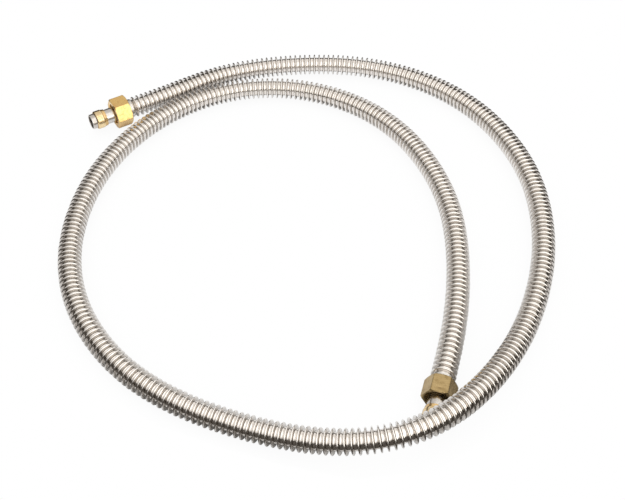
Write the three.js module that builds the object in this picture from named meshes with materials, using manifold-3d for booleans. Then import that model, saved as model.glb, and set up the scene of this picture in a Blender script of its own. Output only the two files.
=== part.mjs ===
// Flexible gas hose: a corrugated steel tube lying in a loose spiral, with a compression fitting at each end.
// Millimetres, +Z up. The origin is on the floor, under the middle of the whole hose as it lies.
// Each fitting is a plain stub tube in a turned end ring, with a loose union nut and a loose compression ring.
import * as THREE from 'three';
import { mergeVertices } from 'three/addons/utils/BufferGeometryUtils.js';
import Module from 'manifold-3d';

const wasm = await Module();
wasm.setup();

// Corrugated hose. Its length is measured along its centreline, between the two end rings.
const HOSE_LENGTH = 2034;
const HOSE_OD = 21;
const HOSE_SIDES = 12;
const HOSE_STEPS = 80;

// Clearances: between seated pieces, round the stub tube, and between the ring and the hose that crosses over it
const SEAT_GAP = 0.3;
const RING_CLEARANCE = 0.3;
const NUT_CLEARANCE = 0.4;
const CROSSING_GAP = 1.3;

// Stub tube, the same at both ends
const STUB_OD = 15;
const STUB_WALL = 1.2;
const STUB_REACH = 24.5;
const STUB_EDGE = 0.35;

// End ring, between the corrugations and the nut
const END_RING_OD = 18.6;
const END_RING_LENGTH = 4.5;
const END_RING_SOCKET = 3;
const END_RING_EDGE = 0.8;
const EDGE_STEPS = 3;
const WELD_STEP_OD = 17.2;
const WELD_STEP_LENGTH = 1.2;

// Compression ring, a short chamfer at the mouth side and a long taper at the nut side
const RING_OD = 18.4;
const RING_BAND = 6.8;
const RING_FRONT_CHAMFER = 0.9;
const RING_TAPER = 3.1;
const RING_TAIL_WALL = 0.5;
const RING_TO_NUT = 9;

// Union nut: its corners are turned off outside a circle at each end, given as a share of the width across flats.
// The two nuts have the same bore, with a thicker wall between bore and flats on the far one.
const NUT_BORE = 20.4;
const NUT_SHOULDER = 3.5;
const NUT_SEAT_ANGLE = 45;
const NUT_MOUTH_BEVEL = 0.6;
const NUT_CORNER_ANGLE = 30;
const NUT_BACK_CIRCLE = 1.02;
const NUT_FRONT_CIRCLE = 1.06;
const ROUND_SEGMENTS = 48;
const CUT_MARGIN = 1;

const FAR = { name: 'far', nutWall: 3.3, nutLength: 16 };
const NEAR = { name: 'near', nutWall: 1.8, nutLength: 17 };

const acrossFlats = (end) => NUT_BORE + 2 * end.nutWall;

const hoseRadius = HOSE_OD / 2;
const stubRadius = STUB_OD / 2;
const stubBore = stubRadius - STUB_WALL;
const ringBore = stubRadius + RING_CLEARANCE;
const nutRearBore = stubRadius + NUT_CLEARANCE;

// Both nuts rest on one of their flats, so each fitting's axis is half a nut above the floor.
// The hose crosses over the near stub tube and its ring in one long low hump.
const farLift = acrossFlats(FAR) / 2 - hoseRadius;
const nearLift = acrossFlats(NEAR) / 2 - hoseRadius;
const hump = acrossFlats(NEAR) / 2 + RING_OD / 2 + CROSSING_GAP;

// The hose's route from the far fitting to the near one: x, y, and how far its underside is off the floor.
// As written, x and y lay out a hose of ROUTE_LENGTH, and a longer or shorter one lies in the same loops.
const ROUTE_LENGTH = 2034;
const layScale = HOSE_LENGTH / ROUTE_LENGTH;
const ROUTE = [
  [-181, 163, farLift],
  [-139, 188, farLift],
  [-100, 219, 0],
  [-52, 234, 0],
  [-2, 240, 0],
  [48, 238, 0],
  [96, 224, 0],
  [139, 198, 0],
  [173, 162, 0],
  [197, 118, 0],
  [212, 70, 0],
  [216, 21, 0],
  [212, -29, 0],
  [200, -77, 0],
  [181, -123, 0],
  [156, -165, 0.33 * hump],
  [125, -205, 0.81 * hump],
  [85, -235, hump],
  [38, -242, 0.67 * hump],
  [-11, -231, 0.19 * hump],
  [-58, -215, 0],
  [-104, -196, 0],
  [-146, -168, 0],
  [-179, -131, 0],
  [-203, -87, 0],
  [-215, -38, 0],
  [-215, 12, 0],
  [-206, 61, 0],
  [-186, 107, 0],
  [-157, 147, 0],
  [-118, 179, 0],
  [-72, 198, 0],
  [-21, 200, 0],
  [27, 185, 0],
  [68, 157, 0],
  [99, 118, 0],
  [120, 72, 0],
  [132, 24, 0],
  [134, -26, 0],
  [130, -76, 0],
  [121, -126, nearLift],
  [107.5, -172.5, nearLift],
].map(([x, y, lift]) => new THREE.Vector3(x * layScale, y * layScale, hoseRadius + lift));

const UP = new THREE.Vector3(0, 0, 1);

const steel = () => new THREE.MeshStandardMaterial({ color: 0xb9b2ab, roughness: 0.3, metalness: 1 });
const polishedSteel = () => new THREE.MeshStandardMaterial({ color: 0xc4bfb8, roughness: 0.22, metalness: 1 });
const ringBrass = () => new THREE.MeshStandardMaterial({ color: 0xc79a4e, roughness: 0.28, metalness: 1 });
const nutBrass = () => new THREE.MeshStandardMaterial({ color: 0xc9a85c, roughness: 0.38, metalness: 1 });

// A smooth curve drawn by its control points: it starts and ends on the first and last of them,
// and leaves each end straight along the first and last leg.
class ControlledCurve extends THREE.Curve {
  constructor(points) {
    super();
    const before = points[0].clone().multiplyScalar(2).sub(points[1]);
    const after = points.at(-1).clone().multiplyScalar(2).sub(points.at(-2));
    this.points = [before, ...points, after];
    this.legs = points.length - 1;
    this.arcLengthDivisions = 2000;
  }

  getPoint(t, target = new THREE.Vector3()) {
    const leg = Math.min(Math.floor(t * this.legs), this.legs - 1);
    const u = t * this.legs - leg;
    const weights = [(1 - u) ** 3, 3 * u ** 3 - 6 * u ** 2 + 4, -3 * u ** 3 + 3 * u ** 2 + 3 * u + 1, u ** 3];
    target.set(0, 0, 0);
    weights.forEach((weight, i) => target.addScaledVector(this.points[leg + i], weight / 6));
    return target;
  }
}

// The hose is a cord, so its solid is the plain outer tube over the tops of the corrugations.
function hoseTube(curve) {
  const section = new THREE.Shape();
  for (let i = 0; i < HOSE_SIDES; i += 1) {
    const angle = (2 * Math.PI * i) / HOSE_SIDES;
    const x = hoseRadius * Math.cos(angle);
    const y = hoseRadius * Math.sin(angle);
    if (i === 0) section.moveTo(x, y);
    else section.lineTo(x, y);
  }
  section.closePath();
  return new THREE.ExtrudeGeometry(section, { steps: HOSE_STEPS, extrudePath: curve });
}

// A body turned about the local Y axis, from a closed outline of [radius, height] corners.
function turned(outline) {
  const closed = [...outline, outline[0]];
  return new THREE.LatheGeometry(closed.map(([r, y]) => new THREE.Vector2(r, y)), ROUND_SEGMENTS);
}

// The rounded outer corner of a turned body, from its side at height y - edge round to its face at height y.
function roundedCorner(radius, y, edge) {
  return Array.from({ length: EDGE_STEPS + 1 }, (_, i) => {
    const angle = (Math.PI / 2) * (i / EDGE_STEPS);
    return [radius - edge * (1 - Math.cos(angle)), y - edge * (1 - Math.sin(angle))];
  });
}

// Joins a geometry's shared corners and drops the flat triangles that a turned outline leaves on its axis.
function toSolid(geometry) {
  const bare = geometry.clone();
  bare.deleteAttribute('normal');
  bare.deleteAttribute('uv');
  const merged = mergeVertices(bare, 1e-4);
  const index = merged.index.array;
  const triangles = [];
  for (let i = 0; i < index.length; i += 3) {
    const [a, b, c] = [index[i], index[i + 1], index[i + 2]];
    if (a !== b && b !== c && c !== a) triangles.push(a, b, c);
  }
  const vertProperties = new Float32Array(merged.attributes.position.array);
  const triVerts = new Uint32Array(triangles);
  return new wasm.Manifold(new wasm.Mesh({ numProp: 3, vertProperties, triVerts }));
}

function toGeometry(solid) {
  const mesh = solid.getMesh();
  const geometry = new THREE.BufferGeometry();
  geometry.setAttribute('position', new THREE.BufferAttribute(new Float32Array(mesh.vertProperties), 3));
  geometry.setIndex(new THREE.BufferAttribute(new Uint32Array(mesh.triVerts), 1));
  geometry.computeVertexNormals();
  return geometry;
}

// Turned ferrule at the end of the corrugations, with a socket for the stub tube and a step for the weld.
function endRing(back) {
  const front = back + END_RING_LENGTH;
  const outer = END_RING_OD / 2;
  const socketFloor = front - END_RING_SOCKET;
  return turned([
    [stubBore, back],
    [WELD_STEP_OD / 2, back],
    [WELD_STEP_OD / 2, back + WELD_STEP_LENGTH],
    [outer, back + WELD_STEP_LENGTH],
    ...roundedCorner(outer, front, END_RING_EDGE),
    [stubRadius + SEAT_GAP, front],
    [stubRadius + SEAT_GAP, socketFloor],
    [stubBore, socketFloor],
  ]);
}

// Plain stub tube from the end ring's socket to its open mouth, with both edges of the mouth broken.
function stubTube(back, mouth) {
  return turned([
    [stubBore, back],
    [stubRadius, back],
    [stubRadius, mouth - STUB_EDGE],
    [stubRadius - STUB_EDGE, mouth],
    [stubBore + STUB_EDGE, mouth],
    [stubBore, mouth - STUB_EDGE],
  ]);
}

// Loose brass ring that the nut presses onto the stub tube.
function compressionRing(tail) {
  const band = tail + RING_TAPER;
  const front = band + RING_BAND + RING_FRONT_CHAMFER;
  const outer = RING_OD / 2;
  return turned([
    [ringBore, tail],
    [ringBore + RING_TAIL_WALL, tail],
    [outer - RING_FRONT_CHAMFER / 2, band],
    [outer, band + RING_FRONT_CHAMFER / 2],
    [outer, front - RING_FRONT_CHAMFER],
    [outer - RING_FRONT_CHAMFER, front],
    [ringBore, front],
  ]);
}

// Hexagon bar with its corners turned off at both ends, bored for the thread, with a tapered seat
// that presses the ring and a shoulder that runs on the stub tube.
function unionNut(back, end) {
  const flat = acrossFlats(end) / 2;
  const corner = flat / Math.cos(Math.PI / 6);
  const hexagon = new THREE.Shape();
  for (let i = 0; i < 6; i += 1) {
    const angle = (Math.PI / 3) * i;
    if (i === 0) hexagon.moveTo(corner, 0);
    else hexagon.lineTo(corner * Math.cos(angle), corner * Math.sin(angle));
  }
  hexagon.closePath();
  const bar = new THREE.ExtrudeGeometry(hexagon, { depth: end.nutLength, bevelEnabled: false });
  bar.rotateX(-Math.PI / 2);
  bar.translate(0, back, 0);

  const front = back + end.nutLength;
  const slope = Math.tan(THREE.MathUtils.degToRad(NUT_CORNER_ANGLE));
  const reach = corner + CUT_MARGIN;
  const backCircle = flat * NUT_BACK_CIRCLE;
  const frontCircle = flat * NUT_FRONT_CIRCLE;
  const turnedCorners = turned([
    [0, back],
    [backCircle, back],
    [reach, back + (reach - backCircle) * slope],
    [reach, front - (reach - frontCircle) * slope],
    [frontCircle, front],
    [0, front],
  ]);

  const bore = NUT_BORE / 2;
  const seatLength = (bore - nutRearBore) / Math.tan(THREE.MathUtils.degToRad(NUT_SEAT_ANGLE));
  const seat = back + NUT_SHOULDER;
  const bored = turned([
    [0, back - CUT_MARGIN],
    [nutRearBore, back - CUT_MARGIN],
    [nutRearBore, seat],
    [bore, seat + seatLength],
    [bore, front - NUT_MOUTH_BEVEL],
    [bore + NUT_MOUTH_BEVEL + CUT_MARGIN, front + CUT_MARGIN],
    [0, front + CUT_MARGIN],
  ]);
  return toGeometry(toSolid(bar).intersect(toSolid(turnedCorners)).subtract(toSolid(bored)));
}

function piece(name, geometry, material) {
  const mesh = new THREE.Mesh(geometry, material);
  mesh.name = name;
  return mesh;
}

// One fitting. Its local Y axis runs out of the hose towards the mouth, from the hose's end at height 0.
function fitting(end, hoseEnd, outward) {
  const group = new THREE.Group();
  const ringBack = SEAT_GAP;
  const nutBack = ringBack + END_RING_LENGTH + SEAT_GAP;
  const nutFront = nutBack + end.nutLength;
  const stubBack = ringBack + END_RING_LENGTH - END_RING_SOCKET + SEAT_GAP;
  group.add(
    piece(`${end.name}_end_ring`, endRing(ringBack), steel()),
    piece(`${end.name}_stub_tube`, stubTube(stubBack, nutFront + STUB_REACH), polishedSteel()),
    piece(`${end.name}_union_nut`, unionNut(nutBack, end), nutBrass()),
    piece(`${end.name}_compression_ring`, compressionRing(nutFront + RING_TO_NUT), ringBrass()),
  );
  const side = outward.clone().cross(UP);
  group.setRotationFromMatrix(new THREE.Matrix4().makeBasis(side, outward, UP));
  group.position.copy(hoseEnd);
  return group;
}

const outwards = (end, inner) => end.clone().sub(inner).normalize();

const gasHose = new THREE.Group();
gasHose.add(piece('hose', hoseTube(new ControlledCurve(ROUTE)), steel()));
gasHose.add(fitting(FAR, ROUTE[0], outwards(ROUTE[0], ROUTE[1])));
gasHose.add(fitting(NEAR, ROUTE.at(-1), outwards(ROUTE.at(-1), ROUTE.at(-2))));

export default gasHose;
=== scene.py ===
"""Looks of a flexible gas hose: corrugated steel in a loose spiral, with a fitting at each end."""

import logging
import math
from dataclasses import dataclass, field
from enum import Enum

import bmesh
import bpy
import numpy as np
from mathutils import Matrix, Vector


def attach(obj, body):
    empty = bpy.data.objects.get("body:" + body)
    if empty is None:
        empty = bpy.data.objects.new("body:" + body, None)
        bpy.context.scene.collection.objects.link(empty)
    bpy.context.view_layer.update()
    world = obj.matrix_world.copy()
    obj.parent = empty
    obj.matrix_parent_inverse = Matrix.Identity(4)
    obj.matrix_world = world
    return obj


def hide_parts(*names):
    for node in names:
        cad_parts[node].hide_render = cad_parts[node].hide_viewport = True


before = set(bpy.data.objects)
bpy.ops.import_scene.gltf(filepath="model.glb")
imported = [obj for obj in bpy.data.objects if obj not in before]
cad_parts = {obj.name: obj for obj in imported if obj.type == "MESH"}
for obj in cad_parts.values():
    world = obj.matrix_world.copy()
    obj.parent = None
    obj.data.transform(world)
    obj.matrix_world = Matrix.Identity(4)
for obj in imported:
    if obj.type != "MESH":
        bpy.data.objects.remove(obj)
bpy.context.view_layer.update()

MM = 0.001
Outline = list[tuple[float, float]]
Colour = tuple[float, float, float]
Way = tuple[float, float, float]
Socket = bpy.types.NodeSocket
log = logging.getLogger("gas_hose")

# The hose's route from the far fitting to the near one: x, y and z of its centreline, in metres.
ROUTE = np.array([
    (-0.181, 0.163, 0.0135), (-0.139, 0.188, 0.0135), (-0.100, 0.219, 0.0105), (-0.052, 0.234, 0.0105),
    (-0.002, 0.240, 0.0105), (0.048, 0.238, 0.0105), (0.096, 0.224, 0.0105), (0.139, 0.198, 0.0105),
    (0.173, 0.162, 0.0105), (0.197, 0.118, 0.0105), (0.212, 0.070, 0.0105), (0.216, 0.021, 0.0105),
    (0.212, -0.029, 0.0105), (0.200, -0.077, 0.0105), (0.181, -0.123, 0.0105), (0.156, -0.165, 0.017925),
    (0.125, -0.205, 0.028725), (0.085, -0.235, 0.033), (0.038, -0.242, 0.025575), (-0.011, -0.231, 0.014775),
    (-0.058, -0.215, 0.0105), (-0.104, -0.196, 0.0105), (-0.146, -0.168, 0.0105), (-0.179, -0.131, 0.0105),
    (-0.203, -0.087, 0.0105), (-0.215, -0.038, 0.0105), (-0.215, 0.012, 0.0105), (-0.206, 0.061, 0.0105),
    (-0.186, 0.107, 0.0105), (-0.157, 0.147, 0.0105), (-0.118, 0.179, 0.0105), (-0.072, 0.198, 0.0105),
    (-0.021, 0.200, 0.0105), (0.027, 0.185, 0.0105), (0.068, 0.157, 0.0105), (0.099, 0.118, 0.0105),
    (0.120, 0.072, 0.0105), (0.132, 0.024, 0.0105), (0.134, -0.026, 0.0105), (0.130, -0.076, 0.0105),
    (0.121, -0.126, 0.012), (0.1075, -0.1725, 0.012),
])


class End(Enum):
    """Which end of the hose a fitting is on."""

    FAR = "far"
    NEAR = "near"


class Marks(Enum):
    """Which way the tool that made a surface left its fine lines."""

    TURNED = "turned"
    DRAWN = "drawn"


class NodeBench:
    """Adds nodes to one material and joins them up."""

    def __init__(self, name: str) -> None:
        """Makes a material that has nothing but its output.

        Args:
            name: the material's name.
        """
        self.material = bpy.data.materials.new(name)
        self.material.use_nodes = True
        self.tree = self.material.node_tree
        self.tree.nodes.clear()
        self.output = self.tree.nodes.new("ShaderNodeOutputMaterial")

    def add(self, kind: str, **settings: object) -> bpy.types.Node:
        """Adds a node.

        Args:
            kind: the node's type, without its common start.
            settings: the node's own properties.

        Returns:
            The new node.
        """
        node = self.tree.nodes.new("ShaderNode" + kind)
        for key, value in settings.items():
            setattr(node, key, value)
        return node

    def feed(self, socket: Socket, value: object) -> None:
        """Puts a value on a socket, or joins another socket to it.

        Args:
            socket: the socket that takes it.
            value: a plain value or another node's output.
        """
        if isinstance(value, Socket):
            self.tree.links.new(value, socket)
        else:
            socket.default_value = value

    def surface(self, metallic: float) -> bpy.types.Node:
        """Adds the surface shader and joins it to the output.

        Args:
            metallic: 1 for bare metal, 0 for the rest.

        Returns:
            The surface shader node.
        """
        shader = self.add("BsdfPrincipled")
        shader.inputs["Metallic"].default_value = metallic
        self.tree.links.new(shader.outputs["BSDF"], self.output.inputs["Surface"])
        return shader

    def math(self, operation: str, first: object, second: object = 0.0) -> Socket:
        """Does one sum on two values.

        Args:
            operation: the sum's name in Blender.
            first: a number or a socket.
            second: a number or a socket.

        Returns:
            The result's socket.
        """
        node = self.add("Math", operation=operation)
        self.feed(node.inputs[0], first)
        self.feed(node.inputs[1], second)
        return node.outputs[0]

    def spread(self, value: object, low: float, high: float, to_low: float, to_high: float) -> Socket:
        """Moves a value smoothly from one range to another, and holds it at the ends.

        Args:
            value: a number or a socket.
            low: the start of the range it comes from.
            high: the end of that range.
            to_low: what low becomes.
            to_high: what high becomes.

        Returns:
            The result's socket.
        """
        node = self.add("MapRange", interpolation_type="SMOOTHSTEP")
        for i, part in enumerate((value, low, high, to_low, to_high)):
            self.feed(node.inputs[i], part)
        return node.outputs[0]

    def blend(self, share: object, first: object, second: object, how: str = "MIX") -> Socket:
        """Mixes two colours.

        Args:
            share: how much of the second one, from 0 to 1.
            first: a colour or a socket.
            second: a colour or a socket.
            how: the way of mixing.

        Returns:
            The mixed colour's socket.
        """
        node = self.add("Mix", data_type="RGBA", blend_type=how)
        self.feed(node.inputs[0], share)
        for socket, value in ((node.inputs[6], first), (node.inputs[7], second)):
            self.feed(socket, (*value, 1.0) if isinstance(value, tuple) else value)
        return node.outputs[2]

    def noise(self, place: Socket, size: float, detail: float = 3.0) -> Socket:
        """Adds soft random patches.

        Args:
            place: the coordinates, in metres.
            size: about how wide a patch is, in metres.
            detail: how many finer layers are added.

        Returns:
            The noise's socket, about 0.5 on average.
        """
        node = self.add("TexNoise")
        self.feed(node.inputs["Vector"], place)
        node.inputs["Scale"].default_value = 1 / size
        node.inputs["Detail"].default_value = detail
        return node.outputs["Fac"]

    def lines(self, place: Socket, spacing: float, detail: float = 2.0) -> Socket:
        """Adds random parallel lines along one measure.

        Args:
            place: a distance, in metres.
            spacing: about how far apart the lines are, in metres.
            detail: how many finer layers are added.

        Returns:
            The lines' socket, about 0.5 on average.
        """
        node = self.add("TexNoise", noise_dimensions="1D")
        self.feed(node.inputs["W"], place)
        node.inputs["Scale"].default_value = 1 / spacing
        node.inputs["Detail"].default_value = detail
        return node.outputs["Fac"]

    def relief(self, height: Socket, depth: float, below: object = None) -> Socket:
        """Turns a height from 0 to 1 into small relief.

        Args:
            height: the height's socket.
            depth: how deep 1 is, in metres.
            below: the normal of coarser relief that this lies on.

        Returns:
            The normal's socket.
        """
        node = self.add("Bump")
        node.inputs["Strength"].default_value = 1.0
        node.inputs["Distance"].default_value = depth
        self.feed(node.inputs["Height"], height)
        if below is not None:
            self.feed(node.inputs["Normal"], below)
        return node.outputs["Normal"]


@dataclass(frozen=True)
class CorrugatedSteel:
    """Thin rolled steel: lighter on the crests from polish and a painted highlight, with darker flanks and a
    dark line at their foot, both painted shade, and rolling lines.
    """

    # Lighter crests: polish from use, with a painted highlight.
    crest: Colour = (0.91, 0.88, 0.85)
    # Darker than the valley: painted shade between the corrugations.
    shaded_flank: Colour = (0.77, 0.735, 0.70)
    valley: Colour = (0.88, 0.83, 0.785)
    # Dark line at the foot of the flanks: painted shade in the crease.
    painted_crease_shade: Colour = (0.38, 0.36, 0.33)
    straw: Colour = (0.79, 0.735, 0.66)
    rose: Colour = (0.83, 0.765, 0.745)
    roughness: float = 0.18

    def material(self) -> bpy.types.Material:
        """Builds the finish.

        Returns:
            The material.
        """
        bench = NodeBench("corrugated_steel")
        place = bench.add("TexCoord").outputs["Object"]
        height = bench.add("Attribute", attribute_name="crest").outputs["Fac"]
        along = bench.add("Attribute", attribute_name="along").outputs["Fac"]
        tarnish = bench.noise(place, 0.030)
        metal = bench.blend(bench.spread(tarnish, 0.45, 0.75, 0.0, 0.5), self.valley, self.straw)
        blush = bench.lines(along, 0.011)
        metal = bench.blend(bench.spread(blush, 0.5, 0.8, 0.0, 0.5), metal, self.rose)
        # Flanks take the darker colour: painted shade between the corrugations.
        metal = bench.blend(bench.spread(height, 0.05, 0.3, 0.0, 1.0), metal, self.shaded_flank)
        # A dark band at the foot of the flanks: painted shade in the crease.
        foot = bench.spread(height, 0.0, 0.06, 0.0, 1.0)
        foot = bench.math("MULTIPLY", foot, bench.spread(height, 0.1, 0.32, 1.0, 0.0))
        metal = bench.blend(foot, metal, self.painted_crease_shade)
        # Crests take the lighter colour: polish from use, with a painted highlight.
        metal = bench.blend(bench.spread(height, 0.75, 0.98, 0.0, 1.0), metal, self.crest)
        specks = bench.noise(place, 0.0009)
        metal = bench.blend(bench.spread(specks, 0.62, 0.78, 0.0, 0.2), metal, self.straw, "MULTIPLY")
        shader = bench.surface(1.0)
        bench.feed(shader.inputs["Base Color"], metal)
        dull = bench.noise(place, 0.004)
        rough = bench.spread(dull, 0.3, 0.7, self.roughness - 0.04, self.roughness + 0.07)
        bench.feed(shader.inputs["Roughness"], rough)
        rolling = bench.relief(bench.lines(along, 0.00035), 0.000008)
        bench.feed(shader.inputs["Normal"], bench.relief(bench.noise(place, 0.0030), 0.000012, rolling))
        return bench.material


@dataclass(frozen=True)
class MachinedMetal:
    """Bare metal as a lathe or a drawing die leaves it, with blotches, fine tool lines, and an edge colour
    near corners and rims: lighter wear on the turned pieces, painted shade on the nuts.
    """

    name: str
    base: Colour
    blotch: Colour
    edge: Colour
    roughness: float
    line_spacing: float
    line_depth: float
    marks: Marks = Marks.TURNED
    drawn_radius: float = 0.0075
    nick_dark: Colour = (0.16, 0.10, 0.05)

    def material(self) -> bpy.types.Material:
        """Builds the finish.

        Returns:
            The material.
        """
        bench = NodeBench(self.name)
        place = bench.add("TexCoord").outputs["Object"]
        parts = bench.add("SeparateXYZ")
        bench.feed(parts.inputs[0], place)
        across = bench.math("POWER", parts.outputs["X"], 2.0)
        upward = bench.math("POWER", parts.outputs["Z"], 2.0)
        radius = bench.math("SQRT", bench.math("ADD", across, upward))
        if self.marks is Marks.TURNED:
            measure = bench.math("ADD", radius, parts.outputs["Y"])
        else:
            turn = bench.math("ARCTAN2", parts.outputs["X"], parts.outputs["Z"])
            measure = bench.math("MULTIPLY", turn, self.drawn_radius)
        tool = bench.lines(measure, self.line_spacing, 3.0)
        blotch = bench.noise(place, 0.006, 4.0)
        metal = bench.blend(bench.spread(blotch, 0.4, 0.7, 0.0, 0.8), self.base, self.blotch)
        metal = bench.blend(bench.spread(tool, 0.35, 0.7, 0.0, 0.18), metal, self.blotch, "MULTIPLY")
        # Near corners and rims the colour moves to the edge colour: lighter wear on the turned pieces,
        # painted shade on the nuts, whose edge colours are darker.
        worn = bench.add("Attribute", attribute_name="edge").outputs["Fac"]
        edge_wear_and_shade = bench.math("MULTIPLY", worn, bench.spread(bench.noise(place, 0.0012), 0.35, 0.6, 0.2, 1.0))
        metal = bench.blend(edge_wear_and_shade, metal, self.edge)
        # The nicks are darker.
        nick = bench.add("Attribute", attribute_name="nick").outputs["Fac"]
        metal = bench.blend(bench.math("MULTIPLY", nick, 0.7), metal, self.nick_dark)
        shader = bench.surface(1.0)
        bench.feed(shader.inputs["Base Color"], metal)
        dull = bench.noise(place, 0.0025)
        rough = bench.spread(dull, 0.3, 0.7, self.roughness - 0.06, self.roughness + 0.1)
        polish = bench.math("MULTIPLY", worn, 0.06)
        bench.feed(shader.inputs["Roughness"], bench.math("SUBTRACT", rough, polish))
        lines = bench.relief(tool, self.line_depth)
        bench.feed(shader.inputs["Normal"], bench.relief(bench.noise(place, 0.0020), 0.000015, lines))
        return bench.material


TURNED_STEEL = MachinedMetal(
    "turned_steel", base=(0.70, 0.67, 0.63), blotch=(0.52, 0.49, 0.45), edge=(0.82, 0.80, 0.77),
    roughness=0.26, line_spacing=0.00022, line_depth=0.000016,
)
STUB_STEEL = MachinedMetal(
    "stub_steel", base=(0.66, 0.62, 0.58), blotch=(0.45, 0.42, 0.39), edge=(0.80, 0.78, 0.75),
    roughness=0.2, line_spacing=0.00030, line_depth=0.000008, marks=Marks.DRAWN,
)
RING_BRASS = MachinedMetal(
    "ring_brass", base=(0.84, 0.60, 0.29), blotch=(0.55, 0.33, 0.12), edge=(0.95, 0.80, 0.52),
    roughness=0.18, line_spacing=0.00024, line_depth=0.000014,
)
# The nut finishes have edge colours darker than their base: painted shade along corners and rims.
FAR_NUT_BRASS = MachinedMetal(
    "far_nut_brass", base=(0.86, 0.60, 0.24), blotch=(0.80, 0.50, 0.20), edge=(0.58, 0.44, 0.18),
    roughness=0.22, line_spacing=0.00040, line_depth=0.000022,
)
# The near nut's brass is a darker copy of the far nut's: painted shade.
NEAR_NUT_SHADED_BRASS = MachinedMetal(
    "near_nut_brass", base=(0.51, 0.375, 0.185), blotch=(0.33, 0.23, 0.10), edge=(0.22, 0.16, 0.07),
    roughness=0.20, line_spacing=0.00080, line_depth=0.000050,
)


@dataclass(frozen=True)
class Placement:
    """Where a fitting sits: its Y axis runs out of the hose, from the hose's end, and its Z axis is up."""

    origin: Vector
    outward: Vector

    def matrix(self) -> Matrix:
        """Works out where the fitting's own axes go.

        Returns:
            The matrix from the fitting's frame to the row frame.
        """
        side = self.outward.cross(Vector((0, 0, 1)))
        turn = Matrix((side, self.outward, Vector((0, 0, 1)))).transposed()
        return Matrix.Translation(self.origin) @ turn.to_4x4()


def rounded(corners: list[tuple[float, float, float]], steps: int = 3) -> Outline:
    """Rounds the corners of a closed outline.

    Args:
        corners: radius, height and rounding of each corner, in millimetres.
        steps: how many facets each rounding has.

    Returns:
        The outline's points, in millimetres.
    """
    points: Outline = []
    count = len(corners)
    for i, (r, y, soft) in enumerate(corners):
        here = Vector((r, y))
        back = Vector(corners[i - 1][:2]) - here
        on = Vector(corners[(i + 1) % count][:2]) - here
        if soft <= 0:
            points.append((r, y))
            continue
        start = here + back.normalized() * min(soft, back.length * 0.45)
        stop = here + on.normalized() * min(soft, on.length * 0.45)
        for k in range(steps + 1):
            t = k / steps
            spot = start * (1 - t) ** 2 + here * 2 * t * (1 - t) + stop * t ** 2
            points.append((spot.x, spot.y))
    return points


def finished_mesh(name: str, mesh: bmesh.types.BMesh, crease: float) -> bpy.types.Object:
    """Turns a worked-out shape into an object.

    Args:
        name: the piece's name.
        mesh: its shape, which is freed.
        crease: edges sharper than this many degrees stay crisp.

    Returns:
        The object.
    """
    bmesh.ops.remove_doubles(mesh, verts=mesh.verts, dist=1e-6)
    bmesh.ops.dissolve_degenerate(mesh, edges=mesh.edges, dist=1e-7)
    bmesh.ops.recalc_face_normals(mesh, faces=mesh.faces)
    data = bpy.data.meshes.new(name)
    mesh.to_mesh(data)
    mesh.free()
    data.polygons.foreach_set("use_smooth", [True] * len(data.polygons))
    data.set_sharp_from_angle(angle=math.radians(crease))
    piece = bpy.data.objects.new(name, data)
    bpy.context.scene.collection.objects.link(piece)
    return piece


def ring_grid(rows: np.ndarray) -> bmesh.types.BMesh:
    """Joins rows of points into one closed surface that goes round an axis.

    Args:
        rows: row by column by x, y, z. The last row joins the first one.

    Returns:
        The surface.
    """
    mesh = bmesh.new()
    verts = [[mesh.verts.new(spot) for spot in row] for row in rows.tolist()]
    height, width = len(verts), len(verts[0])
    for i in range(height):
        for j in range(width):
            up, over = (i + 1) % height, (j + 1) % width
            mesh.faces.new((verts[i][j], verts[up][j], verts[up][over], verts[i][over]))
    return mesh


def turned_piece(name: str, outline: Outline, segments: int, edges: float = 0.5) -> bpy.types.Object:
    """Turns a closed outline about the Y axis.

    Args:
        name: the piece's name.
        outline: radius and height of each point, in millimetres.
        segments: how many facets go round.
        edges: how near an outer corner counts as worn, in millimetres.

    Returns:
        The object, with its worn corners marked.
    """
    angles = np.linspace(0, 2 * math.pi, segments, endpoint=False)
    rows = np.array([
        [(r * math.cos(a) * MM, y * MM, r * math.sin(a) * MM) for a in angles] for r, y in outline
    ])
    piece = finished_mesh(name, ring_grid(rows), 30)
    mark_worn_corners(piece, outline, edges)
    return piece


def mark_worn_corners(piece: bpy.types.Object, outline: Outline, reach: float) -> None:
    """Stores how near each point of a turned piece is to an outer corner of its outline.

    Args:
        piece: the turned piece.
        outline: radius and height of each point, in millimetres.
        reach: how far the wear goes from a corner, in millimetres.
    """
    spots = np.array(outline)
    before, after = spots - np.roll(spots, 1, 0), np.roll(spots, -1, 0) - spots
    turn = np.arctan2(before[:, 0] * after[:, 1] - before[:, 1] * after[:, 0], (before * after).sum(1))
    corners = spots[(np.abs(turn) > math.radians(15)) & (spots[:, 0] > np.median(spots[:, 0]))]
    place = points_of(piece) / MM
    own = np.stack([np.hypot(place[:, 0], place[:, 2]), place[:, 1]], 1)
    gap = np.linalg.norm(own[:, None] - corners[None], axis=2).min(1)
    store(piece, "edge", np.clip(1 - gap / reach, 0, 1))


def points_of(piece: bpy.types.Object) -> np.ndarray:
    """Reads a mesh's points.

    Args:
        piece: the mesh object.

    Returns:
        One row of x, y, z for each point, in metres.
    """
    flat = np.empty(len(piece.data.vertices) * 3)
    piece.data.vertices.foreach_get("co", flat)
    return flat.reshape(-1, 3)


def store(piece: bpy.types.Object, name: str, values: np.ndarray) -> None:
    """Stores one number on each point of a mesh."""
    attribute = piece.data.attributes.new(name, "FLOAT", "POINT")
    attribute.data.foreach_set("value", values.astype(np.float32))


def hand_over(piece: bpy.types.Object, body: str, node: str) -> bpy.types.Object:
    """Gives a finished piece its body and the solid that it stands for.

    Args:
        piece: the piece, in place.
        body: the body that it moves with.
        node: the solid that it replaces.

    Returns:
        The same piece.
    """
    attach(piece, body)
    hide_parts(node)
    log.info("%s rides on %s, %d faces", piece.name, body, len(piece.data.polygons))
    return piece


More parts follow.
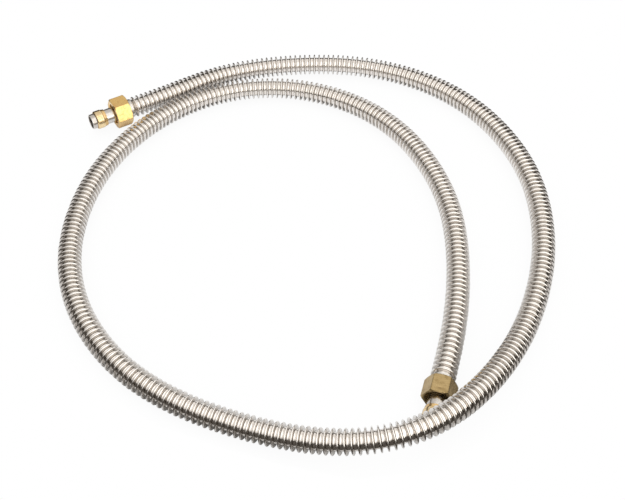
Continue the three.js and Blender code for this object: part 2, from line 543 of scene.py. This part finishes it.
@dataclass
class HoseRoute:
    """The line that the middle of the hose follows, as a smooth curve drawn by its control points."""

    points: np.ndarray
    steps: int = 300
    line: np.ndarray = field(init=False)
    travelled: np.ndarray = field(init=False)

    def __post_init__(self) -> None:
        """Draws the curve finely and measures along it."""
        first = 2 * self.points[0] - self.points[1]
        last = 2 * self.points[-1] - self.points[-2]
        control = np.vstack([first, self.points, last])
        u = np.linspace(0, 1, self.steps, endpoint=False)[:, None]
        weights = [(1 - u) ** 3, 3 * u ** 3 - 6 * u ** 2 + 4, -3 * u ** 3 + 3 * u ** 2 + 3 * u + 1, u ** 3]
        legs = [
            sum(weight * control[leg + i] for i, weight in enumerate(weights)) / 6
            for leg in range(len(self.points) - 1)
        ]
        self.line = np.vstack([*legs, self.points[-1]])
        gaps = np.linalg.norm(np.diff(self.line, axis=0), axis=1)
        self.travelled = np.concatenate([[0], np.cumsum(gaps)])

    @property
    def length(self) -> float:
        """The hose's length along its centreline, in metres."""
        return float(self.travelled[-1])

    def at(self, distance: np.ndarray) -> tuple[np.ndarray, np.ndarray]:
        """Finds places along the hose.

        Args:
            distance: how far along each one is, in metres. It may be just past either end.

        Returns:
            The places and the directions there.
        """
        inside = np.clip(distance, 0, self.length)
        place = np.stack([np.interp(inside, self.travelled, measure) for measure in self.line.T], 1)
        step = 0.0005
        ahead = np.clip(inside + step, 0, self.length)
        behind = np.clip(inside - step, 0, self.length)
        heading = np.stack([
            np.interp(ahead, self.travelled, measure) - np.interp(behind, self.travelled, measure)
            for measure in self.line.T
        ], 1)
        heading /= np.linalg.norm(heading, axis=1)[:, None]
        return place + heading * (distance - inside)[:, None], heading


@dataclass
class CorrugatedHose:
    """The hose: separate rolled corrugations, narrow at the crest and wide in the valley."""

    route: HoseRoute
    crest_radius: float = 10.42
    valley_radius: float = 7.1
    end_radius: float = 8.5
    inner_radius: float = 6.3
    end_reach: float = 0.2
    cap_depth: float = 9.0
    pitch: float = 5.07
    sides: int = 24
    uneven: float = 0.1
    height_limits: tuple[float, float] = (-0.12, 0.06)
    lean: float = 0.012
    seed: int = 11
    profile: tuple[tuple[float, float], ...] = (
        (-0.29, 0.0), (-0.215, 0.08), (-0.175, 0.45), (-0.135, 0.84), (-0.05, 1.0),
        (0.05, 1.0), (0.135, 0.84), (0.175, 0.45), (0.215, 0.08), (0.29, 0.0),
    )
    path: np.ndarray = field(init=False)

    def rings(self) -> tuple[np.ndarray, np.ndarray, np.ndarray, np.ndarray]:
        """Works out every ring of points along the hose.

        Returns:
            How far along each ring is and its radius, in metres, how near it is to a crest, and how it leans.
        """
        count = round(self.route.length / MM / self.pitch)
        pitch = self.route.length / count
        chance = np.random.default_rng(self.seed)
        shift = chance.normal(0, self.uneven, count)
        tall = chance.normal(0, self.uneven * 0.5, count).clip(*self.height_limits)
        leaning = chance.normal(0, self.lean, (count, 2))
        along, radius, crest, lean = [], [], [], []
        for k in range(count):
            for share, height in self.profile:
                along.append((k + 0.5 + share) * pitch + shift[k] * MM * (0.4 + 0.6 * height))
                depth = self.crest_radius - self.valley_radius + tall[k]
                radius.append((self.valley_radius + depth * height) * MM)
                crest.append(height)
                lean.append(leaning[k] * height)
        return np.array(along), np.array(radius), np.array(crest), np.array(lean)

    def build(self) -> bpy.types.Object:
        """Builds the hose as one closed tube with a recess in each end.

        Returns:
            The hose.
        """
        along, radius, crest, lean = self.rings()
        length, reach, deep = self.route.length, self.end_reach * MM, self.cap_depth * MM
        face, hole = self.end_radius * MM, self.inner_radius * MM
        end = length + reach
        along = np.concatenate([[deep, -reach, -reach], along, [end, end, length - deep]])
        radius = np.concatenate([[hole, hole, face], radius, [face, hole, hole]])
        crest = np.concatenate([[0, 0, 0], crest, [0, 0, 0]])
        lean = np.vstack([np.zeros((3, 2)), lean, np.zeros((3, 2))])
        centre, heading = self.route.at(along)
        side = np.cross(heading, (0, 0, 1))
        side /= np.linalg.norm(side, axis=1)[:, None]
        up = np.cross(side, heading)
        angle = np.linspace(0, 2 * math.pi, self.sides, endpoint=False)
        cos, sin = np.cos(angle)[None, :, None], np.sin(angle)[None, :, None]
        spoke = (side[:, None] * cos + up[:, None] * sin) * radius[:, None, None]
        slant = (lean[:, None, :1] * cos + lean[:, None, 1:] * sin) * radius[:, None, None] * heading[:, None]
        places = (centre[:, None] + spoke + slant).reshape(-1, 3)
        piece = self.tube("corrugated_hose", places, len(along))
        store(piece, "crest", np.repeat(crest, self.sides))
        store(piece, "along", np.repeat(along, self.sides))
        piece.data.materials.append(CorrugatedSteel().material())
        self.path = centre[2:-2]
        return piece

    def tube(self, name: str, places: np.ndarray, rings: int) -> bpy.types.Object:
        """Joins rings of points into a tube that is closed at both ends.

        Args:
            name: the piece's name.
            places: the points, ring by ring.
            rings: how many rings there are.

        Returns:
            The tube.
        """
        n = self.sides
        faces = [
            (i * n + j, i * n + (j + 1) % n, (i + 1) * n + (j + 1) % n, (i + 1) * n + j)
            for i in range(rings - 1) for j in range(n)
        ]
        faces.append(tuple(range(n - 1, -1, -1)))
        faces.append(tuple(range((rings - 1) * n, rings * n)))
        data = bpy.data.meshes.new(name)
        data.from_pydata(places.tolist(), [], faces)
        data.polygons.foreach_set("use_smooth", [True] * len(data.polygons))
        data.set_sharp_from_angle(angle=math.radians(80))
        piece = bpy.data.objects.new(name, data)
        bpy.context.scene.collection.objects.link(piece)
        return piece


@dataclass
class EndRing:
    """Turned ferrule, welded to the last corrugation, with a socket for the stub tube."""

    back: float = 0.3
    length: float = 4.5
    outer: float = 9.3
    weld_step: float = 8.6
    weld_length: float = 1.2
    bore: float = 6.3
    socket: float = 7.8
    socket_depth: float = 3.0
    groove_at: float = 1.3
    groove_depth: float = 0.18
    bead_height: float = 0.42
    ripples: int = 46
    segments: int = 138

    def build(self, name: str, finish: MachinedMetal) -> bpy.types.Object:
        """Builds the ring with its weld bead, in the fitting's own frame.

        Args:
            name: the piece's name.
            finish: its finish.

        Returns:
            The ring.
        """
        front = self.back + self.length
        step = self.back + self.weld_length
        floor = front - self.socket_depth
        groove = step + self.groove_at
        rise = self.weld_length - 0.1
        bead = [
            (self.weld_step + self.bead_height * math.sin(t * math.pi), self.back + 0.05 + t * rise)
            for t in np.linspace(0.06, 0.94, 7)
        ]
        outline = rounded([
            (self.bore, self.back, 0.1), (self.weld_step, self.back, 0.05),
            *[(r, y, 0) for r, y in bead],
            (self.weld_step, step, 0.05), (self.outer, step, 0.3),
            (self.outer, groove, 0.05), (self.outer - self.groove_depth, groove + 0.15, 0.05),
            (self.outer - self.groove_depth, groove + 0.35, 0.05), (self.outer, groove + 0.5, 0.05),
            (self.outer, front, 0.8), (self.socket, front, 0.15),
            (self.socket, floor, 0.1), (self.bore, floor, 0.15),
        ])
        piece = turned_piece(name, outline, self.segments)
        self.ripple(piece, step)
        piece.data.materials.append(finish.material())
        return piece

    def ripple(self, piece: bpy.types.Object, step: float) -> None:
        """Gives the weld bead the small even waves that a welder's runs leave.

        Args:
            piece: the ring.
            step: where the weld stops, in millimetres.
        """
        place = points_of(piece)
        radius = np.hypot(place[:, 0], place[:, 2])
        on_bead = (radius > (self.weld_step + 0.1) * MM) & (place[:, 1] < (step - 0.02) * MM)
        turn = np.arctan2(place[:, 2], place[:, 0])
        wave = 0.05 * np.sin(turn * self.ripples) + 0.04 * np.sin(turn * 7 + 1.3)
        scale = 1 + np.where(on_bead, wave * MM / radius, 0)
        place[:, 0] *= scale
        place[:, 2] *= scale
        piece.data.vertices.foreach_set("co", place.ravel())


@dataclass
class StubTube:
    """Plain drawn tube from the end ring's socket to its open mouth."""

    radius: float = 7.5
    bore: float = 6.3
    edge: float = 0.35
    back: float = 2.1
    land_back: float = 1.6
    land_length: float = 0.9
    segments: int = 120

    def build(self, name: str, mouth: float, finish: MachinedMetal) -> bpy.types.Object:
        """Builds the stub tube, in the fitting's own frame.

        Args:
            name: the piece's name.
            mouth: where its mouth is, in millimetres.
            finish: its finish.

        Returns:
            The tube.
        """
        land = mouth - self.land_back
        outline = rounded([
            (self.bore, self.back, 0.1), (self.radius, self.back, 0.1),
            (self.radius, land, 0), (self.radius, land + self.land_length, 0),
            (self.radius, mouth, self.edge * 1.6), (self.bore, mouth, self.edge * 1.3),
            (self.bore, mouth - 3, 0), (self.bore, mouth - 12, 0),
        ], steps=5)
        piece = turned_piece(name, outline, self.segments)
        piece.data.materials.append(finish.material())
        return piece


@dataclass
class CompressionRing:
    """Loose brass ring: a straight band, chamfered on the mouth side, with a long taper on the nut side."""

    outer: float = 9.2
    bore: float = 7.8
    tail_wall: float = 0.5
    taper: float = 3.1
    band: float = 6.8
    chamfer: float = 0.9
    line_at: float = 2.2
    line_width: float = 0.24
    line_depth: float = 0.07
    segments: int = 132

    def build(self, name: str, tail: float, finish: MachinedMetal) -> bpy.types.Object:
        """Builds the ring, in the fitting's own frame.

        Args:
            name: the piece's name.
            tail: where the thin end of its taper is, in millimetres.
            finish: its finish.

        Returns:
            The ring.
        """
        band = tail + self.taper
        front = band + self.band + self.chamfer
        line = band + self.line_at
        outline = rounded([
            (self.bore, tail, 0.1), (self.bore + self.tail_wall, tail, 0.15),
            (self.outer - self.chamfer / 2, band, 0.12), (self.outer, band + self.chamfer / 2, 0.15),
            (self.outer, line, 0.03), (self.outer - self.line_depth, line + self.line_width / 2, 0.03),
            (self.outer, line + self.line_width, 0.03), (self.outer, front - self.chamfer, 0.15),
            (self.outer - self.chamfer, front, 0.15), (self.bore, front, 0.2),
        ])
        piece = turned_piece(name, outline, self.segments)
        piece.data.materials.append(finish.material())
        return piece


@dataclass(frozen=True)
class Nick:
    """A small dent of use on a nut: its angle in degrees, its place and size in millimetres."""

    at: float
    height: float
    wide: float
    tall: float
    deep: float


@dataclass
class UnionNut:
    """Hexagon nut, its corners turned off at both ends, threaded inside, with a tapered seat at the back."""

    across_flats: float
    length: float
    nicks: tuple[Nick, ...] = ()
    bore: float = 10.2
    rear_bore: float = 7.9
    shoulder: float = 3.5
    mouth_bevel: float = 0.6
    corner_angle: float = 30.0
    back_circle: float = 1.02
    front_circle: float = 1.06
    corner_soft: float = 0.35
    edge_soft: float = 0.14
    thread_pitch: float = 1.81
    thread_depth: float = 0.72
    thread_shape: tuple[float, ...] = (0, 0, 0.34, 0.86, 1.0, 0.86, 0.34, 0)
    thread_fade: float = 1.2
    # How far the edge mark reaches from corners and rims: painted shade in the colour, polish in the
    # roughness.
    corner_wear_and_shade: float = 0.7
    rim_wear_and_shade: float = 0.45
    flat_columns: int = 20
    flat_rows: int = 30

    def corner_limit(self) -> float:
        """Works out how far to each side of a corner its rounding goes, as an angle."""
        half = self.across_flats / 2
        return math.pi / 6 - math.atan((half - self.corner_soft) * math.tan(math.pi / 6) / half)

    def columns(self) -> np.ndarray:
        """Works out where the columns of points go round the nut, closer at the corners.

        Returns:
            Their angles, from 0 to a full turn.
        """
        limit = self.corner_limit()
        corner = np.linspace(-limit, limit, 5)
        flat = np.linspace(limit, math.pi / 3 - limit, self.flat_columns + 1)[1:-1]
        once = np.concatenate([corner, flat])
        turns = np.concatenate([once + k * math.pi / 3 for k in range(6)])
        return np.sort(turns % (2 * math.pi))

    def hexagon(self, angle: np.ndarray) -> np.ndarray:
        """Finds the soft-cornered hexagon's radius.

        Args:
            angle: the directions from the axis.

        Returns:
            The radius in each direction, in millimetres.
        """
        half = self.across_flats / 2
        off = np.abs((angle + math.pi / 6) % (math.pi / 3) - math.pi / 6)
        centre = (half - self.corner_soft) / math.cos(math.pi / 6)
        inside = np.maximum(self.corner_soft ** 2 - (centre * np.sin(off)) ** 2, 0)
        round_part = centre * np.cos(off) + np.sqrt(inside)
        return np.where(off < self.corner_limit(), round_part, half / np.cos(math.pi / 6 - off))

    def flat_ends(self, flat: np.ndarray) -> tuple[np.ndarray, np.ndarray]:
        """Works out where the turned-off corners leave the ends of the flats.

        Args:
            flat: the hexagon's radius, in millimetres.

        Returns:
            The heights of the back end and the front end, in millimetres.
        """
        half = self.across_flats / 2
        slope = math.tan(math.radians(self.corner_angle))
        low = np.maximum((flat - self.back_circle * half) * slope, 0.1)
        return low, self.length - np.maximum((flat - self.front_circle * half) * slope, 0.1)

    def outside(self, angle: np.ndarray) -> list[tuple[np.ndarray, np.ndarray]]:
        """Works out the rows of points from the back face, along the flats, to the front face.

        Args:
            angle: the columns' angles.

        Returns:
            Radius and height of each row, in millimetres.
        """
        half = self.across_flats / 2
        flat = self.hexagon(angle)
        same = np.ones_like(angle)
        back = np.minimum(self.back_circle * half, flat - 0.1)
        front = np.minimum(self.front_circle * half, flat - 0.1)
        low, high = self.flat_ends(flat)
        soft = self.edge_soft
        gentle = np.minimum(soft, (flat - back) * 0.5)
        rows = [(back - 1.2, 0 * same), (back - soft, 0 * same), (back + gentle * 0.4, gentle * 0.4)]
        for share in (0.4, 0.7):
            rows.append((back + (flat - back) * share, low * share))
        rows.append((flat - gentle * 0.5, low - gentle * 0.3))
        rows.append((flat - gentle * 0.2, low + gentle * 0.2))
        for share in np.linspace(0, 1, self.flat_rows):
            rows.append((flat, low + soft + (high - low - 2 * soft) * share))
        rows.append((flat - soft * 0.2, high - soft * 0.1))
        rows.append((front + (flat - front) * 0.5, high + (self.length - high) * 0.5))
        rows.append((front, self.length * same))
        rows.append(((front + (self.bore + self.mouth_bevel)) / 2, self.length * same))
        return rows

    def inside(self, angle: np.ndarray) -> list[tuple[np.ndarray, np.ndarray]]:
        """Works out the rows of points round the mouth's bevel.

        Args:
            angle: the columns' angles.

        Returns:
            Radius and height of each row, in millimetres.
        """
        same = np.ones_like(angle)
        return [
            ((self.bore + self.mouth_bevel + 0.1) * same, self.length * same),
            ((self.bore + self.mouth_bevel) * same, (self.length - 0.06) * same),
            (self.bore * same, (self.length - self.mouth_bevel) * same),
        ]

    def rear(self, angle: np.ndarray) -> list[tuple[np.ndarray, np.ndarray]]:
        """Works out the rows of points from the thread's end, down the seat, to the back face.

        Args:
            angle: the columns' angles.

        Returns:
            Radius and height of each row, in millimetres.
        """
        same = np.ones_like(angle)
        seat = self.shoulder + self.bore - self.rear_bore
        return [
            (self.bore * same, seat * same), ((self.rear_bore + 0.1) * same, (self.shoulder + 0.1) * same),
            (self.rear_bore * same, (self.shoulder - 0.1) * same), (self.rear_bore * same, 0.35 * same),
            ((self.rear_bore + 0.3) * same, 0 * same),
        ]

    def add_row(
        self, mesh: bmesh.types.BMesh, angle: np.ndarray, radius: np.ndarray, height: np.ndarray,
    ) -> list[bmesh.types.BMVert]:
        """Adds one row of points round the nut.

        Args:
            mesh: the nut's shape.
            angle: the columns' angles.
            radius: each point's radius, in millimetres.
            height: each point's height, in millimetres.

        Returns:
            The points.
        """
        return [
            mesh.verts.new((r * math.cos(a) * MM, y * MM, r * math.sin(a) * MM))
            for a, r, y in zip(angle, radius, height)
        ]

    def add_rows(self, mesh: bmesh.types.BMesh, angle: np.ndarray, rows: list) -> None:
        """Adds rows of points and the faces between them.

        Args:
            mesh: the nut's shape.
            angle: the columns' angles.
            rows: radius and height of each row, in millimetres.
        """
        verts = [self.add_row(mesh, angle, radius, height) for radius, height in rows]
        width = len(angle)
        for i in range(len(verts) - 1):
            for j in range(width):
                over = (j + 1) % width
                mesh.faces.new((verts[i][j], verts[i + 1][j], verts[i + 1][over], verts[i][over]))

    def add_thread(self, mesh: bmesh.types.BMesh, angle: np.ndarray) -> None:
        """Adds the thread, as rows that climb one pitch in each turn.

        Args:
            mesh: the nut's shape.
            angle: the columns' angles.
        """
        low = self.shoulder + self.bore - self.rear_bore
        high = self.length - self.mouth_bevel
        steps, pitch = len(self.thread_shape), self.thread_pitch
        last = math.ceil(steps * ((high - low) / pitch + 1))
        verts = []
        for k in range(last + 1):
            climb = low + pitch * (k / steps + angle / (2 * math.pi) - 1)
            y = np.clip(climb, low, high)
            fade = np.clip((y - low) / self.thread_fade, 0, 1)
            depth = self.thread_depth * self.thread_shape[k % steps] * fade
            radius = self.bore + np.where((climb < low) | (climb > high), 0, depth)
            verts.append(self.add_row(mesh, angle, radius, y))
        width = len(angle)
        for k in range(last):
            for j in range(width - 1):
                mesh.faces.new((verts[k][j], verts[k + 1][j], verts[k + 1][j + 1], verts[k][j + 1]))
            if k + 1 + steps <= last:
                there, beyond = verts[k + steps][0], verts[k + 1 + steps][0]
                mesh.faces.new((verts[k][-1], verts[k + 1][-1], beyond, there))

    def build(self, name: str, back: float, finish: MachinedMetal) -> bpy.types.Object:
        """Builds the nut, in the fitting's own frame.

        Args:
            name: the piece's name.
            back: where its back face is, in millimetres.
            finish: its finish.

        Returns:
            The nut.
        """
        angle = self.columns()
        mesh = bmesh.new()
        rear = self.rear(angle)
        self.add_rows(mesh, angle, [rear[-1], *self.outside(angle), *self.inside(angle)])
        self.add_rows(mesh, angle, rear)
        self.add_thread(mesh, angle)
        bmesh.ops.translate(mesh, verts=mesh.verts, vec=(0, back * MM, 0))
        piece = finished_mesh(name, mesh, 32)
        self.dent(piece, back)
        self.mark_edges(piece, back)
        piece.data.materials.append(finish.material())
        return piece

    def dent(self, piece: bpy.types.Object, back: float) -> None:
        """Presses the small nicks of use into the flats.

        Args:
            piece: the nut.
            back: where its back face is, in millimetres.
        """
        place = points_of(piece) / MM
        radius = np.hypot(place[:, 0], place[:, 2])
        turn = np.degrees(np.arctan2(place[:, 2], place[:, 0]))
        outer = radius > self.bore + self.thread_depth + 0.3
        marks = np.zeros(len(place))
        for nick in self.nicks:
            around = np.radians((turn - nick.at + 180) % 360 - 180) * radius
            far = (around / nick.wide) ** 2 + ((place[:, 1] - back - nick.height) / nick.tall) ** 2
            press = nick.deep * np.exp(-far * 1.5) * outer
            marks = np.maximum(marks, press / nick.deep)
            place[:, 0] *= 1 - press / radius
            place[:, 2] *= 1 - press / radius
        piece.data.vertices.foreach_set("co", (place * MM).ravel())
        store(piece, "nick", marks)

    def mark_edges(self, piece: bpy.types.Object, back: float) -> None:
        """Stores how near each point is to a corner or rim of the nut, where its finish paints shade with a
        darker colour and lowers the roughness.

        Args:
            piece: the nut.
            back: where its back face is, in millimetres.
        """
        place = points_of(piece) / MM
        radius = np.hypot(place[:, 0], place[:, 2])
        turn = np.arctan2(place[:, 2], place[:, 0])
        off = np.abs((turn + math.pi / 6) % (math.pi / 3) - math.pi / 6) * radius
        low, high = self.flat_ends(self.hexagon(turn))
        height = place[:, 1] - back
        rim = np.minimum(np.abs(height - low), np.abs(height - high))
        worn = np.maximum(np.clip(1 - off / self.corner_wear_and_shade, 0, 1), np.clip(1 - rim / self.rim_wear_and_shade, 0, 1))
        store(piece, "edge", worn * (radius > self.across_flats / 2 * 0.97))


@dataclass
class Fitting:
    """One compression fitting: end ring, stub tube, union nut and compression ring."""

    end: End
    nut: UnionNut
    nut_finish: MachinedMetal
    ring_to_nut: float = 9.0
    stub_reach: float = 24.5
    nut_gap: float = 0.3
    ring: EndRing = field(default_factory=EndRing)
    stub: StubTube = field(default_factory=StubTube)
    compression: CompressionRing = field(default_factory=CompressionRing)

    def placement(self) -> Placement:
        """Finds the hose's end and the direction out of it.

        Returns:
            Where the fitting goes.
        """
        last, inner = (ROUTE[0], ROUTE[1]) if self.end is End.FAR else (ROUTE[-1], ROUTE[-2])
        return Placement(Vector(last), (Vector(last) - Vector(inner)).normalized())

    def build(self) -> list[bpy.types.Object]:
        """Builds and places the four pieces.

        Returns:
            The pieces.
        """
        name = self.end.value
        nut_back = self.ring.back + self.ring.length + self.nut_gap
        nut_front = nut_back + self.nut.length
        pieces = [
            self.ring.build(f"{name}_ferrule", TURNED_STEEL),
            self.stub.build(f"{name}_stub", nut_front + self.stub_reach, STUB_STEEL),
            self.nut.build(f"{name}_nut_piece", nut_back, self.nut_finish),
            self.compression.build(f"{name}_ring_piece", nut_front + self.ring_to_nut, RING_BRASS),
        ]
        for piece in pieces:
            piece.matrix_world = self.placement().matrix()
        hand_over(pieces[0], "hose_with_stubs", f"{name}_end_ring")
        hand_over(pieces[1], "hose_with_stubs", f"{name}_stub_tube")
        hand_over(pieces[2], f"{name}_nut", f"{name}_union_nut")
        hand_over(pieces[3], f"{name}_ring", f"{name}_compression_ring")
        return pieces


@dataclass
class Studio:
    """A white sheet cut round the hose, a light tent that is dark near the horizon, and the white beyond."""

    side_margin: float = 0.045
    front_margin: float = 0.016
    hem: float = 0.010
    far_tip: float = 0.046
    near_tip: float = 0.047
    shadow_glow: float = 0.94
    # How brightly reflections see the sheet glow, at the front and at the back: dimmer at the front, painted
    # shade.
    mirror_glow: tuple[float, float] = (0.80, 0.92)
    shadow_reach: float = 0.04
    sheet_colour: float = 0.4
    tent_radius: float = 1.1
    tent_rows: int = 32
    tent_columns: int = 48
    wall: Colour = (0.085, 0.076, 0.067)
    roof: Colour = (0.76, 0.735, 0.70)
    side: Colour = (1.18, 1.15, 1.11)
    softbox: Colour = (1.55, 1.525, 1.48)
    softbox_way: Way = (0.12, -0.42, 0.90)
    lamp: Colour = (2.3, 2.25, 2.1)
    lamp_way: Way = (0.63, -0.66, 0.41)

    def build(self) -> None:
        """Builds the sheet, the tent and the world."""
        self.build_sheet()
        self.build_tent()
        world = bpy.data.worlds.new("white_beyond")
        bpy.context.scene.world = world
        world.use_nodes = True
        background = world.node_tree.nodes["Background"]
        background.inputs["Color"].default_value = (1, 1, 1, 1)
        background.inputs["Strength"].default_value = 1.0
        log.info("studio built")

    def outline(self, inset: float) -> list[tuple[float, float, float]]:
        """Works out a line a little outside the hose and its fittings all round, closest at the front.

        Args:
            inset: how far inside the sheet's edge it is, in metres.

        Returns:
            The corners of the line, in metres.
        """
        far, near = ROUTE[0] - ROUTE[1], ROUTE[-1] - ROUTE[-2]
        tips = [
            ROUTE[0] + far / np.linalg.norm(far) * self.far_tip,
            ROUTE[-1] + near / np.linalg.norm(near) * self.near_tip,
        ]
        spots = np.vstack([ROUTE, tips])[:, :2]
        corners = []
        for turn in np.linspace(0, 2 * math.pi, 90, endpoint=False):
            way = np.array((math.cos(turn), math.sin(turn)))
            closer = max(0.0, -float(way[1])) * (self.side_margin - self.front_margin)
            x, y = spots[np.argmax(spots @ way)] + way * (self.side_margin - closer - inset)
            corners.append((float(x), float(y), 0.0))
        return corners

    def build_sheet(self) -> None:
        """Lays the white sheet that the hose lies on, with the hose's shadow painted into its glow from how
        much open sky each spot has, deeper towards the front.
        """
        mesh = bmesh.new()
        inner = [mesh.verts.new(corner) for corner in self.outline(self.hem)]
        outer = [mesh.verts.new(corner) for corner in self.outline(0.0)]
        mesh.faces.new(inner)
        for i, corner in enumerate(inner):
            mesh.faces.new((inner[i - 1], corner, outer[i], outer[i - 1]))
        sheet = finished_mesh("white_sheet", mesh, 30)
        store(sheet, "edge", np.repeat((0.0, 1.0), len(sheet.data.vertices) // 2))
        bench = NodeBench("white_sheet")
        paper = bench.add("BsdfDiffuse")
        paper.inputs["Color"].default_value = (self.sheet_colour,) * 3 + (1.0,)
        glow = bench.add("Emission")
        glow.inputs["Color"].default_value = (1, 1, 1, 1)
        path = bench.add("LightPath")
        hem = bench.add("Attribute", attribute_name="edge").outputs["Fac"]
        # Painted shadow: the glow drops where the hose hides the sky nearby.
        nearby = bench.add("AmbientOcclusion", samples=8)
        nearby.inputs["Distance"].default_value = self.shadow_reach
        open_sky = nearby.outputs["AO"]
        straight = bench.spread(bench.math("MAXIMUM", open_sky, hem), 0.2, 0.98, self.shadow_glow, 1.0)
        seen = bench.math("MULTIPLY", path.outputs["Is Camera Ray"], straight)
        parts = bench.add("SeparateXYZ")
        bench.feed(parts.inputs[0], bench.add("TexCoord").outputs["Object"])
        # In reflections the painted shadow is deeper and the glow dimmer towards the front.
        towards_back = bench.spread(parts.outputs["Y"], -0.06, 0.13, 0.0, 1.0)
        lifted = bench.math("ADD", open_sky, bench.math("MULTIPLY", towards_back, 0.45))
        clear = bench.spread(lifted, 0.45, 0.92, 0.0, 1.0)
        clear = bench.math("MULTIPLY", clear, bench.spread(towards_back, 0.0, 1.0, *self.mirror_glow))
        mirrored = bench.math("MAXIMUM", path.outputs["Is Glossy Ray"], path.outputs["Is Transmission Ray"])
        share = bench.math("MAXIMUM", seen, bench.math("MULTIPLY", mirrored, clear))
        mix = bench.add("MixShader")
        bench.feed(mix.inputs[0], share)
        bench.feed(mix.inputs[1], paper.outputs[0])
        bench.feed(mix.inputs[2], glow.outputs[0])
        bench.feed(bench.output.inputs["Surface"], mix.outputs[0])
        sheet.data.materials.append(bench.material)

    def lit(self, bench: NodeBench, aim: Socket, toward: Way, low: float, high: float) -> Socket:
        """Finds how far inside a round patch of the tent each direction is.

        Args:
            bench: the tent's material.
            aim: the direction's socket.
            toward: the middle of the patch.
            low: the cosine at the patch's edge.
            high: the cosine where the patch is full.

        Returns:
            The share's socket, from 0 to 1.
        """
        dot = bench.add("VectorMath", operation="DOT_PRODUCT")
        bench.feed(dot.inputs[0], aim)
        dot.inputs[1].default_value = Vector(toward).normalized()
        return bench.spread(dot.outputs["Value"], low, high, 0.0, 1.0)

    def tent_skin(self) -> bmesh.types.BMesh:
        """Builds the tent's round skin column by column, so that its faces come in the same order each run.

        Returns:
            The skin.
        """
        mesh = bmesh.new()
        top = mesh.verts.new((0, 0, self.tent_radius))
        rows = []
        for fall in np.linspace(0, math.pi, self.tent_rows + 1)[1:-1]:
            wide, high = self.tent_radius * math.sin(fall), self.tent_radius * math.cos(fall)
            turns = np.linspace(0, 2 * math.pi, self.tent_columns, endpoint=False)
            rows.append([mesh.verts.new((wide * math.cos(a), wide * math.sin(a), high)) for a in turns])
        foot = mesh.verts.new((0, 0, -self.tent_radius))
        for j in range(self.tent_columns):
            over = (j + 1) % self.tent_columns
            mesh.faces.new((top, rows[0][j], rows[0][over]))
            for upper, lower in zip(rows, rows[1:]):
                mesh.faces.new((upper[j], lower[j], lower[over], upper[over]))
            mesh.faces.new((foot, rows[-1][over], rows[-1][j]))
        return mesh

    def build_tent(self) -> None:
        """Puts up the light tent, which the camera doesn't see."""
        tent = finished_mesh("light_tent", self.tent_skin(), 180)
        tent.visible_camera = False
        bench = NodeBench("light_tent")
        place = bench.add("TexCoord").outputs["Object"]
        aim = bench.add("VectorMath", operation="NORMALIZE")
        bench.feed(aim.inputs[0], place)
        parts = bench.add("SeparateXYZ")
        bench.feed(parts.inputs[0], aim.outputs[0])
        sides = bench.blend(bench.spread(parts.outputs["X"], -0.5, 0.6, 0.0, 1.0), self.roof, self.side)
        shade = bench.blend(bench.spread(parts.outputs["Z"], 0.25, 0.42, 0.0, 1.0), self.wall, sides)
        above = self.lit(bench, aim.outputs[0], self.softbox_way, 0.70, 0.92)
        shade = bench.blend(above, shade, self.softbox)
        front = self.lit(bench, aim.outputs[0], self.lamp_way, 0.95, 0.98)
        shade = bench.blend(front, shade, self.lamp)
        glow = bench.add("Emission")
        bench.feed(glow.inputs["Color"], shade)
        bench.feed(bench.output.inputs["Surface"], glow.outputs[0])
        tent.data.materials.append(bench.material)


@dataclass
class PhotoCamera:
    """The camera at the photograph's own place, looking down along the floor's depth."""

    place: tuple[float, float, float] = (0.00329, -0.63693, 0.67025)
    down: float = 47.5
    lens: float = 57.6
    sensor: float = 36.0

    def build(self) -> None:
        """Sets up the camera."""
        data = bpy.data.cameras.new("photo_camera")
        data.lens = self.lens
        data.sensor_width = self.sensor
        data.sensor_fit = "HORIZONTAL"
        data.clip_start = 0.01
        camera = bpy.data.objects.new("photo_camera", data)
        camera.location = self.place
        camera.rotation_euler = (math.radians(90 - self.down), 0, 0)
        bpy.context.scene.collection.objects.link(camera)
        bpy.context.scene.camera = camera
        log.info("camera built")


@dataclass
class GasHose:
    """The whole hose with its two fittings."""

    far: Fitting = field(default_factory=lambda: Fitting(
        End.FAR,
        UnionNut(27.0, 16.0, nicks=(Nick(-148.0, 4.0, 1.2, 0.5, 0.12), Nick(92.0, 9.5, 0.8, 0.4, 0.1))),
        FAR_NUT_BRASS,
    ))
    near: Fitting = field(default_factory=lambda: Fitting(
        End.NEAR,
        UnionNut(24.0, 17.0, nicks=(Nick(88.0, 13.2, 1.9, 0.55, 0.22), Nick(36.0, 6.0, 0.7, 0.5, 0.12))),
        NEAR_NUT_SHADED_BRASS,
    ))

    def build(self) -> None:
        """Builds the hose and its fittings, and says how long the hose is."""
        hose = CorrugatedHose(HoseRoute(ROUTE))
        piece = hose.build()
        hand_over(piece, "hose_with_stubs", "hose")
        fittings = [*self.far.build(), *self.near.build()]
        log.info("hose is %.3f m long", hose.route.length)


def main() -> None:
    """Builds the camera, the hose and the studio, in that order."""
    logging.basicConfig(level=logging.INFO, format="%(name)s: %(message)s")
    bpy.context.scene.view_settings.view_transform = "Standard"
    PhotoCamera().build()
    GasHose().build()
    Studio().build()


if __name__ == "__main__":
    main()
